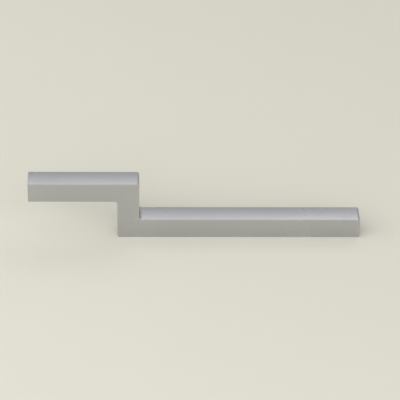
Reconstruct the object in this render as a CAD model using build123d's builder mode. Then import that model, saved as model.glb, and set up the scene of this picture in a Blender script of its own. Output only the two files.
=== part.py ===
"""Stepped furniture handle: one cast square bar that rises from its mounting arm to a short open grip.

Millimetres. The origin lies on the mounting face, midway between the two screw holes.
+X runs along the mounting arm, away from the grip. +Z points off the furniture front, and so
away from the surface that the handle lies on. The handle is the same on both sides of Y = 0.
"""
from build123d import *
from math import sqrt, tan, radians
import os

os.makedirs("parts", exist_ok=True)

# The bar
bar_side = 10.0  # square bar, measured across the crowns of opposite faces
face_crown = 0.15  # each face of the bar is fuller by this much in its middle
edge_radius = 0.15  # the four long edges, broken by polishing
corner_radius = 1.2  # the outside corners, where the bar turns and at the mounting arm's end
inner_radius = 1.5  # the two inside corners of the step

# The stepped shape
handle_height = 29.5  # mounting face to the top of the grip
mounting_arm_length = 110.0  # along the furniture, the riser's foot included
grip_length = 50.0  # along the furniture, the riser's head included
flat_depth = 0.2  # the mounting arm has straight sides to this height, below its crowned faces

# The two threaded holes in the mounting face
hole_spacing = 96.0  # a standard spacing of handle screws
tapping_drill_radius = 1.65  # for an M4 thread
thread_depth = 7.0
mouth_radius = 2.2  # the countersunk mouth, a little wider than the screw
mouth_angle = 90.0
drill_point_angle = 118.0

# Where the bar's middle line runs
half_side = bar_side / 2
grip_middle_z = handle_height - half_side
arm_end_x = mounting_arm_length / 2
riser_x = half_side - mounting_arm_length / 2
grip_end_x = riser_x + half_side - grip_length
crown_radius = ((half_side - face_crown) ** 2 + face_crown**2) / (2 * face_crown)
cut_margin = 2.0  # how far the crowning tool runs past the bar


def crown_height(reach):
    """How far a crowned face stands from the bar's middle, at a distance from the face's own middle."""
    return half_side - crown_radius + sqrt(crown_radius**2 - reach**2)


def crowned_profile(reach):
    """Closed outline with two straight sides, at the reach, and two crowned ones."""
    height = crown_height(reach)
    with BuildLine() as outline:
        ThreePointArc((-reach, height), (0, half_side), (reach, height))
        Line((reach, height), (reach, -height))
        ThreePointArc((reach, -height), (0, -half_side), (-reach, -height))
        Line((-reach, -height), (-reach, height))
    return outline.line


def middle_line(overrun):
    """The bar's middle line, from the grip's free end to the mounting arm's, and past both."""
    with BuildLine() as line:
        Polyline(
            (grip_end_x - overrun, 0, grip_middle_z),
            (riser_x, 0, grip_middle_z),
            (riser_x, 0, half_side),
            (arm_end_x + overrun, 0, half_side),
        )
    return line.line


def crosswise_edges(part, places):
    """The edges that run across the bar through the given places in the side view."""
    return [
        edge
        for edge in part.edges()
        for x, z in places
        if abs((edge @ 0).Y - (edge @ 1).Y) > half_side / 2
        and (Vector(edge.center().X, 0, edge.center().Z) - Vector(x, 0, z)).length < 2 * face_crown
    ]


def long_edges(part):
    """The edges along the bar, where its front and back faces meet the others."""
    shallowest = half_side - 2 * face_crown
    return [
        edge
        for edge in part.edges()
        if all(shallowest < abs((edge @ place).Y) < half_side - face_crown / 2 for place in (0, 0.5, 1))
    ]


with BuildPart() as handle:
    # The bar is crowned above and below all along its stepped middle line, with mitred turns.
    with BuildSketch(Plane(origin=(grip_end_x, 0, grip_middle_z), x_dir=(0, 1, 0), z_dir=(1, 0, 0))):
        add(crowned_profile(half_side))
        make_face()
    sweep(path=middle_line(0), transition=Transition.RIGHT)

    # The side that lies on the furniture is flat instead, at the same overall height.
    split(bisect_by=Plane.XY.offset(flat_depth), keep=Keep.TOP)
    extrude(handle.faces().sort_by(Axis.Z)[0], amount=flat_depth)

    # Rounded corners. The grip's free end stays square, with sharp corners.
    outside_corners = [
        (riser_x + half_side, handle_height),
        (riser_x - half_side, 0),
        (arm_end_x, bar_side),
        (arm_end_x, 0),
    ]
    inside_corners = [
        (riser_x - half_side, handle_height - bar_side),
        (riser_x + half_side, bar_side),
    ]
    fillet(crosswise_edges(handle.part, outside_corners), corner_radius)
    fillet(crosswise_edges(handle.part, inside_corners), inner_radius)

    # The front and back are crowned along the same line, and meet in mitres at the turns.
    with BuildSketch(
        Plane(origin=(grip_end_x - cut_margin, 0, grip_middle_z), x_dir=(0, 0, 1), z_dir=(1, 0, 0))
    ):
        add(crowned_profile(half_side + cut_margin))
        make_face()
    sweep(path=middle_line(cut_margin), transition=Transition.RIGHT, mode=Mode.INTERSECT)
    fillet(long_edges(handle.part), edge_radius)

    # Two blind holes in the mounting face, with drill points and countersunk mouths.
    with Locations(Plane(origin=(0, 0, 0), x_dir=(1, 0, 0), z_dir=(0, 0, -1))):
        with GridLocations(hole_spacing, bar_side, 2, 1):
            CounterSinkHole(tapping_drill_radius, mouth_radius, thread_depth, mouth_angle)
    point_height = tapping_drill_radius / tan(radians(drill_point_angle / 2))
    with Locations((0, 0, thread_depth + point_height / 2)):
        with GridLocations(hole_spacing, bar_side, 2, 1):
            Cone(tapping_drill_radius, 0, point_height, mode=Mode.SUBTRACT)

handle.part.label = "handle"
export_step(handle.part, "parts/handle.step")

size = handle.part.bounding_box().size
print(f"handle {size.X:.2f} x {size.Y:.2f} x {size.Z:.2f} mm, {handle.part.volume / 1000:.2f} cm3")
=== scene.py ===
# %% [markdown]
# # A stepped furniture handle
#
# The handle is one cast bar of square section. A long arm lies on the furniture, a riser stands at
# one end of it, and a short grip runs back from the top of the riser and ends free. The bar is
# plated and satin finished.
#
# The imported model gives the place, the size and the solid shape, in metres. This script builds the
# handle's skin over it, with its screw threads and its satin finish, lays it on a pale table, and
# sets up the light and the camera.

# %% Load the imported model
from collections import namedtuple
from math import asin, cos, hypot, pi, radians, sin, sqrt, tan

import bmesh
import bpy
from mathutils import Matrix, Vector


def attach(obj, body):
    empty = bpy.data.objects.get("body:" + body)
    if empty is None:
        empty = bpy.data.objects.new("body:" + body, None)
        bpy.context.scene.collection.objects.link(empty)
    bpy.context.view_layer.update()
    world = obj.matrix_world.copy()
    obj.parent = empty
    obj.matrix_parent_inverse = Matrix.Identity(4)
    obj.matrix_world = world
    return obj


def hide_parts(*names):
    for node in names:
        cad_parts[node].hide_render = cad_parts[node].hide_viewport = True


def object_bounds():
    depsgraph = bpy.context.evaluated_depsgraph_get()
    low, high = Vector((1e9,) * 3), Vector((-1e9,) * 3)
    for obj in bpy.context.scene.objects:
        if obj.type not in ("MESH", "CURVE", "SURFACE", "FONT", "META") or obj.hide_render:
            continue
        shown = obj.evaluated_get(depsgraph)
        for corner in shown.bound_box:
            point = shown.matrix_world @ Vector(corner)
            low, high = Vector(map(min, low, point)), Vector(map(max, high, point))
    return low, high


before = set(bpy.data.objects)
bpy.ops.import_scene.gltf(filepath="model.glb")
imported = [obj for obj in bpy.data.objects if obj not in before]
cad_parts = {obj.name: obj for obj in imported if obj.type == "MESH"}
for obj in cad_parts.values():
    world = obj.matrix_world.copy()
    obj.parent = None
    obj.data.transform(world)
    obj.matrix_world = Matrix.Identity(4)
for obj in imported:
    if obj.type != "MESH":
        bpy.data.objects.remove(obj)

MM = 0.001

solid_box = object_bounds()
low, high = solid_box
print("handle from", [round(v / MM, 2) for v in low], "to", [round(v / MM, 2) for v in high], "mm")

# %% [markdown]
# ## The camera
#
# A long lens from far away shows the handle with almost parallel edges. The camera stands in front
# of the handle, 36 degrees above the table, and looks at a point a little above the mounting arm.
# Its distance follows from the lens and from how many pixels a metre takes in the picture.

# %% Camera
PICTURE_WIDTH = 400
PIXELS_PER_METRE = 2226
LENS = 216.0
FILM_WIDTH = 36.0
CAMERA_AZIMUTH = radians(-1.9)
CAMERA_ELEVATION = radians(35.7)
CAMERA_ROLL = radians(1.17)
AIM = Vector((-17.79, -4.9, 20.79)) * MM
FARTHEST_SEEN = 20

focal_pixels = LENS / FILM_WIDTH * PICTURE_WIDTH
camera_distance = focal_pixels / PIXELS_PER_METRE
towards_camera = Vector(
    (
        sin(CAMERA_AZIMUTH) * cos(CAMERA_ELEVATION),
        -cos(CAMERA_AZIMUTH) * cos(CAMERA_ELEVATION),
        sin(CAMERA_ELEVATION),
    )
)

camera_data = bpy.data.cameras.new("camera")
camera_data.lens = LENS
camera_data.sensor_width = FILM_WIDTH
camera_data.clip_end = FARTHEST_SEEN
camera = bpy.data.objects.new("camera", camera_data)
bpy.context.scene.collection.objects.link(camera)
camera.matrix_world = (
    Matrix.Translation(AIM + towards_camera * camera_distance)
    @ Matrix.Rotation(CAMERA_AZIMUTH, 4, "Z")
    @ Matrix.Rotation(radians(90) - CAMERA_ELEVATION, 4, "X")
    @ Matrix.Rotation(CAMERA_ROLL, 4, "Z")
)
bpy.context.scene.camera = camera
print("camera", round(camera_distance, 3), "m away")


# %% [markdown]
# ## The handle's skin
#
# The real handle is one die-cast bar. Its four faces are slightly full in the middle, because
# castings are polished on soft belts, and its long edges are only just broken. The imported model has
# this form, with four facets across each full face, and its screw holes have no thread.
#
# A subdivision cage would give a smooth bar too, but it would also soften the crisp edges. Here the
# skin is laid in rings instead. One cross-section is drawn once and set again and again along the
# bar, as a boat builder sets ribs along a keel. Each ring hangs between a point on the bar's lower
# outline and a point on its upper outline, so that the rings can fan out around a corner.

# %% Sizes of the bar
CROWN = 0.15 * MM
EDGE = 0.15 * MM
OUTER_CORNER = 1.2 * MM
INNER_CORNER = 1.5 * MM
RISER_LEFT = -55 * MM

BAR = high[1] - low[1]
HALF = BAR / 2
TOP = high[2]
GRIP_END = low[0]
ARM_END = high[0]
RISER_RIGHT = RISER_LEFT + BAR
print("bar", round(BAR / MM, 2), "mm, underside of the grip at", round((TOP - BAR) / MM, 2), "mm")

# %% [markdown]
# ### One cross-section
#
# Each side of the section is a very flat arc, and a small arc rounds each edge. Where the two meet,
# an extra point stands close beside the joint. It keeps the shading of the small arc from spreading
# over the wide face, where it would look like a dent.

# %% Flat arcs and small arcs
SIDE_STEPS = 5
EDGE_STEPS = 6
BESIDE_JOINT = 0.04 * MM

crown_radius = ((HALF - CROWN) ** 2 + CROWN**2) / (2 * CROWN)
crown_centre = HALF - crown_radius


def crown_height(reach):
    """How far a full face stands from the bar's middle, at a distance from the face's own middle."""
    return crown_centre + sqrt(crown_radius**2 - reach**2)


# %% Cross-section
# A small arc touches its two flat arcs from inside, so its centre lies on the section's diagonal.
inner_reach = crown_radius - EDGE
edge_centre = (crown_centre + sqrt(2 * inner_reach**2 - crown_centre**2)) / 2
joint_tilt = asin(edge_centre / inner_reach)
joint = crown_radius * sin(joint_tilt)

# Each point is kept as its place across, from below to above, its depth, from front to back, and how
# much it belongs to an edge.
side_places = [joint * i / SIDE_STEPS for i in range(1 - SIDE_STEPS, SIDE_STEPS)]
edge_tilts = [joint_tilt + (pi / 2 - 2 * joint_tilt) * i / EDGE_STEPS for i in range(1, EDGE_STEPS)]
quarter = [(crown_height(v), v, 1.0) for v in (-joint, BESIDE_JOINT - joint)]
quarter += [(crown_height(v), v, 0.0) for v in side_places]
quarter += [(crown_height(v), v, 1.0) for v in (joint - BESIDE_JOINT, joint)]
quarter += [(edge_centre + EDGE * cos(a), edge_centre + EDGE * sin(a), 1.0) for a in edge_tilts]

section = []
for turns in range(4):
    for across, depth, on_edge in quarter:
        for _ in range(turns):
            across, depth = -depth, across
        section.append((across, depth, on_edge))

around = [0.0]
for here, there in zip(section, section[1:] + section[:1]):
    around.append(around[-1] + hypot(there[0] - here[0], there[1] - here[1]))
print("section of", len(section), "points,", round(around[-1] / MM, 2), "mm around")

# %% [markdown]
# ### Ribs along the bar
#
# A rib holds a point of the lower outline and a point of the upper one, seen from the side. On the
# straight runs the ribs stand square to the bar. Around a corner they turn about the middle of the
# inside corner's arc, like the pages of a book about its spine, and reach out to the outside corner.
#
# The side that lies on the furniture is flat. So each rib also says how much of the lower crown is
# left, and it fades out at the riser's foot. The trim takes a little off the front and back, where
# the arm's end is rounded.

# %% Rib helpers
RUN_STEP = 2.5 * MM

Rib = namedtuple("Rib", "lower upper lower_slant upper_slant lower_crown trim")
ribs = []


def add_rib(lower, upper, lower_slant=1.0, upper_slant=1.0, lower_crown=1.0, trim=0.0):
    """Keeps a rib. A slant is the cosine of the angle between the rib and the outline's normal."""
    ribs.append(Rib(Vector(lower), Vector(upper), lower_slant, upper_slant, lower_crown, trim))


def run(first, last):
    """Places along a straight run: close beside both ends, and evenly between them."""
    count = max(2, round(abs(last - first) / RUN_STEP))
    beside = BESIDE_JOINT if last > first else -BESIDE_JOINT
    between = [first + (last - first) * i / count for i in range(1, count)]
    return [first, first + beside, *between, last - beside, last]


# %% Pages of a corner
# In degrees. The pages stand closer together where they cross the outside corner's small arc.
FIRST_PAGES = (4, 9, 15, 21, 27, 33, 38, 41, 42, 42.8, 43.5, 44.2)
PAGE_ANGLES = [*FIRST_PAGES, 45, *(90 - angle for angle in reversed(FIRST_PAGES))]


def outside(angle):
    """How far a page reaches to the outside corner, and its slant there."""
    wide = INNER_CORNER + BAR
    a = radians(min(angle, 90 - angle))
    arc_middle = wide - OUTER_CORNER
    if wide * tan(a) <= arc_middle:
        return wide / cos(a), cos(a)
    page = Vector((cos(a), sin(a)))
    along = page.dot((arc_middle, arc_middle))
    reach = along + sqrt(along**2 - 2 * arc_middle**2 + OUTER_CORNER**2)
    outwards = (page * reach - Vector((arc_middle, arc_middle))).normalized()
    return reach, outwards.dot(page)


def corner_pages(spine, first_ray, turn):
    """The angle, the inside point, the outside point and the slant of each page of a corner."""
    for angle in PAGE_ANGLES:
        a = radians(first_ray + turn * angle)
        ray = Vector((cos(a), sin(a)))
        reach, slant = outside(angle)
        yield angle, spine + ray * INNER_CORNER, spine + ray * reach, slant


# %% Grip and riser
FREE_END_BREAK = EDGE / 2

for x in run(GRIP_END + FREE_END_BREAK, RISER_LEFT - INNER_CORNER):
    add_rib((x, TOP - BAR), (x, TOP))

upper_spine = Vector((RISER_LEFT - INNER_CORNER, TOP - BAR - INNER_CORNER))
for _, inner, outer, slant in corner_pages(upper_spine, 90, -1):
    add_rib(inner, outer, upper_slant=slant)

for z in run(TOP - BAR - INNER_CORNER, BAR + INNER_CORNER):
    add_rib((RISER_LEFT, z), (RISER_RIGHT, z))

# %% Foot and mounting arm
# The lower crown fades out between these two pages, in degrees.
FADE_FROM, FADE_TO = 40, 50

lower_spine = Vector((RISER_RIGHT + INNER_CORNER, BAR + INNER_CORNER))
for angle, inner, outer, slant in corner_pages(lower_spine, 180, 1):
    left = min(1.0, max(0.0, (FADE_TO - angle) / (FADE_TO - FADE_FROM)))
    add_rib(outer, inner, lower_slant=slant, lower_crown=left)

for x in run(lower_spine.x, ARM_END - OUTER_CORNER):
    add_rib((x, 0), (x, BAR), lower_crown=0.0)

# %% The arm's rounded end
ROUND_STEPS = 8

for i in range(1, ROUND_STEPS + 1):
    a = pi / 2 * i / ROUND_STEPS
    x = ARM_END - OUTER_CORNER * (1 - sin(a))
    drop = OUTER_CORNER * (1 - cos(a))
    past_edge = max(0.0, x - (ARM_END - EDGE))
    trim = EDGE - sqrt(EDGE**2 - past_edge**2)
    add_rib((x, drop), (x, BAR - drop), lower_crown=0.0, trim=trim)

along = [0.0]
for here, there in zip(ribs, ribs[1:]):
    along.append(along[-1] + ((there.lower + there.upper) / 2 - (here.lower + here.upper) / 2).length)
print(len(ribs), "ribs along", round(along[-1] / MM, 1), "mm of bar")

# %% [markdown]
# ### Hanging the section on the ribs
#
# Near its two ends a rib keeps the section's true size, so that the edges are as fine at a corner
# as elsewhere. Between them the section is stretched to fit. The front and back are fullest along
# the bar's middle line and fall away from it on both sides, so they meet in a mitre at each corner.

# %% A point of the skin
KEPT = 1.0 * MM
GRIP_MIDDLE = TOP - HALF
RISER_MIDDLE = RISER_LEFT + HALF


def from_middle_line(x, z):
    """Distance from the bar's middle line, which turns at two mitres."""
    if z - x > GRIP_MIDDLE - RISER_MIDDLE:
        return abs(z - GRIP_MIDDLE)
    if z - x > HALF - RISER_MIDDLE:
        return abs(x - RISER_MIDDLE)
    return abs(z - HALF)


def along_rib(rib, across):
    """How far up a rib a point of the section hangs."""
    length = (rib.upper - rib.lower).length
    first, last = KEPT / rib.lower_slant, length - KEPT / rib.upper_slant
    if HALF + across < KEPT:
        return (HALF + across) / rib.lower_slant
    if HALF - across < KEPT:
        return length - (HALF - across) / rib.upper_slant
    return first + (HALF + across - KEPT) / (BAR - 2 * KEPT) * (last - first)


def placed(rib, across, depth):
    """A point of the section in its place on the handle."""
    if across < 0:
        across *= 1 + (1 - rib.lower_crown) * (HALF / crown_height(depth) - 1)
    x, z = rib.lower + (rib.upper - rib.lower).normalized() * along_rib(rib, across)
    fuller = CROWN * (across**2 - from_middle_line(x, z) ** 2) / HALF**2
    return x, depth + depth / HALF * (fuller - rib.trim), z


# %% [markdown]
# ### Faces, and two notes for the finish
#
# The rings are joined by bands of faces. Two things are written on the mesh for the finish to read
# later. A UV map called along_bar holds real distances, in metres: how far along the bar, and how far
# around it. The grain follows it around the corners. And polished_edge is 1 on the edges and 0 on
# the faces.

# %% Bands and caps
def band(bm, ring, following, places, next_places):
    """Joins two rings. The places go to the UV map, and hold one more than the ring to close it."""
    along_bar = bm.loops.layers.uv["along_bar"]
    for i in range(len(ring)):
        j = (i + 1) % len(ring)
        face = bm.faces.new((ring[i], ring[j], following[j], following[i]))
        corners = (places[i], places[i + 1], next_places[i + 1], next_places[i])
        for loop, place in zip(face.loops, corners):
            loop[along_bar].uv = place


def cap(bm, ring, inset, outwards=0.0):
    """Closes an end with a band as wide as the inset and one flat face inside it."""
    shrink = 1 - 2 * inset / BAR
    middle = sum((vert.co for vert in ring), Vector()) / len(ring)
    inner = [bm.verts.new(middle + (vert.co - middle) * shrink) for vert in ring]
    for vert in inner:
        vert.co.x += outwards
    places = [(vert.co.y, vert.co.z) for vert in [*ring, ring[0]]]
    inner_places = [(vert.co.y, vert.co.z) for vert in [*inner, inner[0]]]
    band(bm, ring, inner, places, inner_places)
    face = bm.faces.new(inner)
    for loop, place in zip(face.loops, inner_places):
        loop[bm.loops.layers.uv["along_bar"]].uv = place


def finished_piece(bm, name):
    """Turns the mesh into an object in the scene."""
    bmesh.ops.recalc_face_normals(bm, faces=bm.faces)
    mesh = bpy.data.meshes.new(name)
    bm.to_mesh(mesh)
    bm.free()
    piece = bpy.data.objects.new(name, mesh)
    bpy.context.scene.collection.objects.link(piece)
    return piece


# %% Skin
skin = bmesh.new()
skin.loops.layers.uv.new("along_bar")
polished_edge = skin.verts.layers.float.new("polished_edge")
rings = []
for rib in ribs:
    ring = []
    for across, depth, on_edge in section:
        vert = skin.verts.new(placed(rib, across, depth))
        vert[polished_edge] = on_edge
        ring.append(vert)
    rings.append(ring)
for vert in rings[0]:
    vert[polished_edge] = 1.0

places = [[(u, v) for v in around] for u in along]
for i in range(len(rings) - 1):
    band(skin, rings[i], rings[i + 1], places[i], places[i + 1])
cap(skin, rings[0], FREE_END_BREAK, outwards=-FREE_END_BREAK)
cap(skin, rings[-1], 2 * EDGE)
handle_skin = finished_piece(skin, "handle_skin")
print("skin of", len(handle_skin.data.polygons), "faces")

# %% [markdown]
# ### Threaded holes
#
# Two screws come through the furniture front into the mounting face. Each hole is drilled, tapped
# with an M4 thread and countersunk at its mouth. One radius for each angle and height describes such
# a hole fully: the mouth's cone, then the ridges of the thread, then the drill's point. A Screw
# modifier could wind a thread too, but it wouldn't run out into the cone and the plain bore. Here the
# radius gives a closed plug, and a boolean cuts the plug from the skin.

# %% Sizes of a hole
HOLE_PLACES = (-48 * MM, 48 * MM)
DRILL_RADIUS = 1.65 * MM
THREAD_RADIUS = 2.0 * MM
THREAD_PITCH = 0.7 * MM
THREAD_DEPTH = 7.0 * MM
RUN_OUT = 0.6 * MM
MOUTH_RADIUS = 2.2 * MM
POINT_ANGLE = radians(118)
HOLE_DEPTH = THREAD_DEPTH + DRILL_RADIUS / tan(POINT_ANGLE / 2)
CREST_FLAT = 1 / 4  # shares of the pitch
ROOT_FLAT = 1 / 8


def hole_radius(angle, z):
    """The hole's radius at an angle and a height above the mounting face."""
    turn = (z / THREAD_PITCH - angle / (2 * pi)) % 1.0
    ridge = 1 - abs(2 * turn - 1)
    cut = min(1.0, max(0.0, (ridge - CREST_FLAT) / (1 - ROOT_FLAT - CREST_FLAT)))
    fade = min(1.0, max(0.0, (THREAD_DEPTH - RUN_OUT - z) / THREAD_PITCH))
    thread = DRILL_RADIUS + (THREAD_RADIUS - DRILL_RADIUS) * cut * fade
    mouth_cone = MOUTH_RADIUS - z
    return max(thread, mouth_cone)


# %% [markdown]
# The plug's rows of points climb around it like the thread itself, one pitch for each turn. So the
# crests and roots of the thread run along rows and stay clean lines. The last point of a row is
# therefore the first point of the row one turn higher. Where a row would leave the hole, it is held
# at the mounting face or at the end of the thread.

# %% Points of a plug
AROUND_STEPS = 64
STEPS_PER_TURN = 16
FIRST_ROW = -STEPS_PER_TURN
LAST_ROW = round(THREAD_DEPTH / THREAD_PITCH * STEPS_PER_TURN)

around_hole = [2 * pi * i / AROUND_STEPS for i in range(AROUND_STEPS + 1)]


def plug_points(plug, hole_x):
    """Gives a function that makes, or finds again, the plug's point on a row and a column."""
    made = {}

    def point(row, column):
        climb = row * AROUND_STEPS + column * STEPS_PER_TURN
        climb = min(LAST_ROW * AROUND_STEPS, max(0, climb))
        column %= AROUND_STEPS
        if (climb, column) not in made:
            a, z = around_hole[column], THREAD_PITCH * climb / (STEPS_PER_TURN * AROUND_STEPS)
            r = hole_radius(a, z)
            made[climb, column] = plug.verts.new((hole_x + r * cos(a), r * sin(a), z))
        return made[climb, column]

    return point


# %% Plug of a hole
BELOW_FACE = 0.3 * MM


def wind_rows(plug, point):
    """Lays the faces between the climbing rows. Where a row is held at an end, they are triangles."""
    along_bar = plug.loops.layers.uv["along_bar"]
    for row in range(FIRST_ROW, LAST_ROW):
        for column in range(AROUND_STEPS):
            corners = {}
            for i, j in ((row, column), (row, column + 1), (row + 1, column + 1), (row + 1, column)):
                corners.setdefault(point(i, j), j)
            if len(corners) > 2:
                face = plug.faces.new(corners)
                for loop, j in zip(face.loops, corners.values()):
                    loop[along_bar].uv = (around_hole[j] * DRILL_RADIUS, loop.vert.co.z)


def hole_plug(name, hole_x):
    """A closed solid in the shape of a hole, a little longer than the hole at its mouth."""
    plug = bmesh.new()
    plug.loops.layers.uv.new("along_bar")
    plug.verts.layers.float.new("polished_edge")
    point = plug_points(plug, hole_x)
    wind_rows(plug, point)

    wide = MOUTH_RADIUS + BELOW_FACE
    circle = [(hole_x + wide * cos(a), wide * sin(a), -BELOW_FACE) for a in around_hole[:-1]]
    opening = [plug.verts.new(place) for place in circle]
    rim = [point(FIRST_ROW, column) for column in range(AROUND_STEPS)]
    opening_places, rim_places = ([(a * MOUTH_RADIUS, z) for a in around_hole] for z in (-BELOW_FACE, 0))
    band(plug, opening, rim, opening_places, rim_places)
    plug.faces.new(opening)

    bottom = [point(LAST_ROW, column) for column in range(AROUND_STEPS)]
    tip = plug.verts.new((hole_x, 0, HOLE_DEPTH))
    for i in range(AROUND_STEPS):
        plug.faces.new((bottom[i - 1], bottom[i], tip))
    return finished_piece(plug, name)


# %% [markdown]
# The boolean cuts exactly, and where two points nearly meet it leaves edges far shorter than a
# thousandth of a millimetre. A weld joins their ends, so that the skin has no slivers.

# %% Cut the holes
WELD_DISTANCE = 0.0005 * MM

for number, hole_x in enumerate(HOLE_PLACES, 1):
    plug = hole_plug(f"hole_plug_{number}", hole_x)
    cut = handle_skin.modifiers.new("cut_hole", "BOOLEAN")
    cut.operation = "DIFFERENCE"
    cut.solver = "EXACT"
    cut.object = plug
    result = handle_skin.evaluated_get(bpy.context.evaluated_depsgraph_get())
    uncut_mesh, handle_skin.data = handle_skin.data, bpy.data.meshes.new_from_object(result)
    handle_skin.modifiers.clear()
    bpy.data.meshes.remove(uncut_mesh)
    bpy.data.meshes.remove(plug.data)

welded = bmesh.new()
welded.from_mesh(handle_skin.data)
bmesh.ops.remove_doubles(welded, verts=welded.verts, dist=WELD_DISTANCE)
welded.to_mesh(handle_skin.data)
welded.free()

# The boolean only guesses the edge notes of its new points, so they are cleared in and around a hole.
edge_notes = handle_skin.data.attributes["polished_edge"].data
for vert in handle_skin.data.vertices:
    x, y, z = vert.co
    from_hole = min(hypot(x - hole_x, y) for hole_x in HOLE_PLACES)
    if from_hole < MOUTH_RADIUS + BESIDE_JOINT and z < HOLE_DEPTH + BESIDE_JOINT:
        edge_notes[vert.index].value = 0.0
print("with its holes,", len(handle_skin.data.polygons), "faces")

# %% [markdown]
# ### Smooth faces, crisp edges
#
# All faces are shaded smooth. Only edges that turn by more than 35 degrees stay sharp: the grip's
# free end, the mouths of the holes and the ridges of the threads. Then the skin is attached to the
# body it moves with, and the imported model's handle, which it stands in for, is hidden.

# %% Shading and bookkeeping
SHARP_TURN = radians(35)

handle_skin.data.name = "handle_skin"
for polygon in handle_skin.data.polygons:
    polygon.use_smooth = True
handle_skin.data.set_sharp_from_angle(angle=SHARP_TURN)
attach(handle_skin, "root")
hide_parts("handle")
print("attributes:", [attribute.name for attribute in handle_skin.data.attributes])

# %% [markdown]
# ## The satin metal
#
# The casting is plated and then satin finished: a soft belt or a fine blast takes off the mirror
# shine and leaves a velvet of tiny marks. At arm's length it looks like one even light grey. Close
# up there are three things to see, and each has its own node.
#
# - Fine lines run along the bar, a tenth of a millimetre wide. A noise texture is stretched along
#   the bar's own UV map, so the lines turn the corners with the bar.
# - A velvet grain lies over them. It is plain noise, in the object's own metres.
# - Slow clouds, about two centimetres wide, change the brightness and the roughness by very little,
#   because no plating bath and no hand is quite even.
#
# The edges get more of the belt than the faces, so they are a very little brighter and smoother.
#
# Anisotropic shading could draw the highlights out along the lines as well. Bumps of a real depth are
# used instead, because they still show as separate lines when the camera comes close.

# %% Node helpers
NOISE_LOW, NOISE_HIGH = 0.3, 0.7
PLAIN_DETAIL, FINE_DETAIL = 2, 3


def add_node(tree, kind, inputs=None, **settings):
    """Adds a node to a material, with its settings and the values of its inputs."""
    node = tree.nodes.new(kind)
    for name, value in settings.items():
        setattr(node, name, value)
    for name, value in (inputs or {}).items():
        node.inputs[name].default_value = value
    return node


def noise(tree, place, scale, detail):
    """A noise texture over a place, from 0 to 1 and mostly near a half."""
    node = add_node(tree, "ShaderNodeTexNoise", {"Scale": scale, "Detail": detail})
    tree.links.new(place, node.inputs["Vector"])
    return node.outputs["Fac"]


def spread(tree, value, lowest, highest, from_lowest=NOISE_LOW, from_highest=NOISE_HIGH):
    """Stretches a noise to a range of its own."""
    limits = {"From Min": from_lowest, "From Max": from_highest, "To Min": lowest, "To Max": highest}
    node = add_node(tree, "ShaderNodeMapRange", limits)
    tree.links.new(value, node.inputs["Value"])
    return node.outputs["Result"]


def blend_colours(tree, factor, first, second):
    """Goes from the first colour to the second. The first may be another node's output."""
    node = add_node(tree, "ShaderNodeMix", data_type="RGBA")
    start, end = (socket for socket in node.inputs if socket.type == "RGBA")
    tree.links.new(factor, node.inputs["Factor"])
    if isinstance(first, tuple):
        start.default_value = (*first, 1)
    else:
        tree.links.new(first, start)
    end.default_value = (*second, 1)
    return next(socket for socket in node.outputs if socket.type == "RGBA")


def bumps(tree, height, depth, under=None):
    """Bumps of a real depth in metres, on top of others if there are any."""
    node = add_node(tree, "ShaderNodeBump", {"Distance": depth})
    tree.links.new(height, node.inputs["Height"])
    if under:
        tree.links.new(under, node.inputs["Normal"])
    return node.outputs["Normal"]


# %% Grain of the metal
# Marks in one metre: of the lines along and across the bar, of the velvet and of the clouds.
LINES_ALONG = 160
LINES_ACROSS = 9000
VELVET_SCALE = 12000
CLOUD_SCALE = 55

satin = bpy.data.materials.new("satin_metal")
satin.use_nodes = True
satin_tree = satin.node_tree
object_place = add_node(satin_tree, "ShaderNodeTexCoord").outputs["Object"]
bar_place = add_node(satin_tree, "ShaderNodeUVMap", uv_map="along_bar").outputs["UV"]
stretch = add_node(satin_tree, "ShaderNodeMapping", {"Scale": (LINES_ALONG, LINES_ACROSS, 1)})
satin_tree.links.new(bar_place, stretch.inputs["Vector"])
lines = noise(satin_tree, stretch.outputs["Vector"], 1, FINE_DETAIL)
velvet = noise(satin_tree, object_place, VELVET_SCALE, PLAIN_DETAIL)
clouds = noise(satin_tree, object_place, CLOUD_SCALE, PLAIN_DETAIL)
edges = add_node(satin_tree, "ShaderNodeAttribute", attribute_name="polished_edge").outputs["Fac"]

# %% Finish of the metal
DULL = (0.5, 0.505, 0.52)
BRIGHT = (0.54, 0.545, 0.56)
RUBBED = (0.56, 0.565, 0.58)
LEAST_CLOUD, MOST_CLOUD = 0.2, 0.8
MOST_RUBBED = 0.6
ROUGHEST, SMOOTHEST = 0.31, 0.27
EDGE_SMOOTHER = -0.01
LINE_DEPTH = 0.008 * MM
VELVET_DEPTH = 0.004 * MM

metal = satin_tree.nodes["Principled BSDF"]
metal.inputs["Metallic"].default_value = 1.0
plated = blend_colours(satin_tree, spread(satin_tree, clouds, LEAST_CLOUD, MOST_CLOUD), DULL, BRIGHT)
rubbed = blend_colours(satin_tree, spread(satin_tree, edges, 0, MOST_RUBBED, 0, 1), plated, RUBBED)
satin_tree.links.new(rubbed, metal.inputs["Base Color"])

rough = spread(satin_tree, clouds, ROUGHEST, SMOOTHEST)
edge_rough = add_node(satin_tree, "ShaderNodeMath", operation="MULTIPLY_ADD")
edge_rough.inputs[1].default_value = EDGE_SMOOTHER
satin_tree.links.new(edges, edge_rough.inputs[0])
satin_tree.links.new(rough, edge_rough.inputs[2])
satin_tree.links.new(edge_rough.outputs["Value"], metal.inputs["Roughness"])

grain = bumps(satin_tree, lines, LINE_DEPTH, under=bumps(satin_tree, velvet, VELVET_DEPTH))
satin_tree.links.new(grain, metal.inputs["Normal"])
handle_skin.data.materials.clear()
handle_skin.data.materials.append(satin)
print("satin metal made of", len(satin_tree.nodes), "nodes")

# %% [markdown]
# ## The table
#
# The handle lies on a wide pale table. A plane is enough, because nothing of its edge is seen. Its
# paint is warm white and matt, with a faint mottle and the fine tooth of a roller. The plane lies a
# hair's breadth below the mounting face, since two faces in exactly the same place would flicker.

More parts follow.
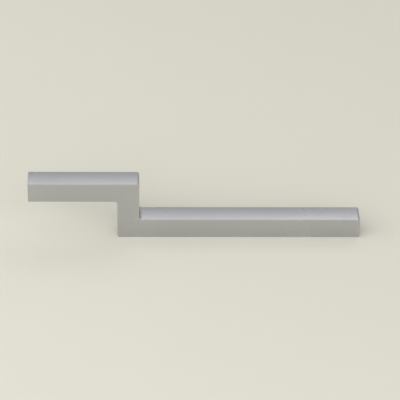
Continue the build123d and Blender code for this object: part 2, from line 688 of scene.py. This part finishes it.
# %% Table
TABLE_HALF = 1.5
HAIR = 0.02 * MM

table_mesh = bpy.data.meshes.new("table")
corner_signs = ((-1, -1), (1, -1), (1, 1), (-1, 1))
table_corners = [(x * TABLE_HALF, y * TABLE_HALF, -HAIR) for x, y in corner_signs]
table_mesh.from_pydata(table_corners, [], [(0, 1, 2, 3)])
table = bpy.data.objects.new("table", table_mesh)
bpy.context.scene.collection.objects.link(table)

# %% Table paint
PAINT_DARKER = (0.809, 0.79, 0.687)
PAINT_LIGHTER = (0.827, 0.808, 0.702)
MOTTLE_SCALE = 25
TOOTH_SCALE = 1500
TOOTH_DEPTH = 0.03 * MM
PAINT_SMOOTHEST, PAINT_ROUGHEST = 0.78, 0.82
PAINT_SHINE = 0.2

table_paint = bpy.data.materials.new("table_paint")
table_paint.use_nodes = True
paint_tree = table_paint.node_tree
table_place = add_node(paint_tree, "ShaderNodeTexCoord").outputs["Object"]
mottle = noise(paint_tree, table_place, MOTTLE_SCALE, FINE_DETAIL)
tooth = noise(paint_tree, table_place, TOOTH_SCALE, PLAIN_DETAIL)
paint = paint_tree.nodes["Principled BSDF"]
paint.inputs["Specular IOR Level"].default_value = PAINT_SHINE
mottled = blend_colours(paint_tree, mottle, PAINT_DARKER, PAINT_LIGHTER)
paint_tree.links.new(mottled, paint.inputs["Base Color"])
mottled_rough = spread(paint_tree, mottle, PAINT_SMOOTHEST, PAINT_ROUGHEST)
paint_tree.links.new(mottled_rough, paint.inputs["Roughness"])
paint_tree.links.new(bumps(paint_tree, tooth, TOOTH_DEPTH), paint.inputs["Normal"])
table_mesh.materials.append(table_paint)

# %% [markdown]
# ## The light
#
# Satin metal shows its surroundings as soft bands, so the places of the lamps matter more than their
# power. One small lamp would draw a hard shadow and clip the metal to white. A photographer puts
# such a piece in a tent of white cloth and lights it from outside, and the light here is built the
# same way: a dim white world is the tent, and each lamp is one brighter wall of it.
#
# Their brightness was found by rendering the scene with one lamp at a time. Light adds up, so the
# brightness that each lamp needs follows from those pictures by least squares. Each wall is kept
# wide and dim, about as bright as white paper. Seen from behind, the top faces mirror the walls in
# front and come close to white.

# %% Tent
TENT_BRIGHTNESS = 0.5

world = bpy.data.worlds.new("tent")
bpy.context.scene.world = world
world.use_nodes = True
tent = world.node_tree.nodes["Background"]
tent.inputs["Color"].default_value = (1, 1, 1, 1)
tent.inputs["Strength"].default_value = TENT_BRIGHTNESS

# %% A wall of the tent
LAMP_AIM = Vector((-20, 0, 10)) * MM


def wall_lamp(name, azimuth, elevation, distance, width, height, brightness):
    """A wide lamp that faces the handle. Azimuth 0 is the camera's side and 90 the right."""
    a, e = radians(azimuth), radians(elevation)
    away = Vector((sin(a) * cos(e), -cos(a) * cos(e), sin(e)))
    data = bpy.data.lights.new(name, "AREA")
    data.shape = "RECTANGLE"
    data.size, data.size_y = width, height
    data.energy = brightness * pi * width * height
    lamp = bpy.data.objects.new(name, data)
    bpy.context.scene.collection.objects.link(lamp)
    lamp.location = LAMP_AIM + away * distance
    lamp.rotation_euler = away.to_track_quat("Z", "Y").to_euler()
    lamp.visible_camera = False
    print(name, "gives", round(data.energy, 2), "W from", distance, "m")


# %% [markdown]
# The top faces show the wall behind the handle, which is a band of light half-way up. Because the
# top is slightly full, its back part looks below that band and its front part looks into it, so it
# brightens towards the front. The front faces show the table before them. The walls on the front
# and left light that table, and leave the soft shadows behind the handle and to its right.

# %% Walls
# Angles are in degrees and lengths in metres. A brightness of 1 is what the picture shows as white.
wall_lamp("back_wall", azimuth=162, elevation=47, distance=0.9, width=0.8, height=0.2, brightness=0.92)
wall_lamp("back_right_wall", azimuth=150, elevation=45, distance=0.9, width=0.5, height=0.5, brightness=0.2)
wall_lamp("left_wall", azimuth=-90, elevation=20, distance=0.9, width=1.0, height=0.6, brightness=0.9)
wall_lamp("front_left_wall", azimuth=-45, elevation=27, distance=1.0, width=1.3, height=0.8, brightness=1.05)
wall_lamp("front_wall", azimuth=22, elevation=27, distance=1.0, width=1.3, height=0.8, brightness=0.96)
wall_lamp("left_roof", azimuth=-65, elevation=60, distance=0.85, width=1.2, height=0.8, brightness=0.22)

# %% [markdown]
# ## Finish
#
# The plain view transform shows colours as they are written, and the last cell sets it.

# %% View transform
bpy.context.scene.view_settings.view_transform = "Standard"
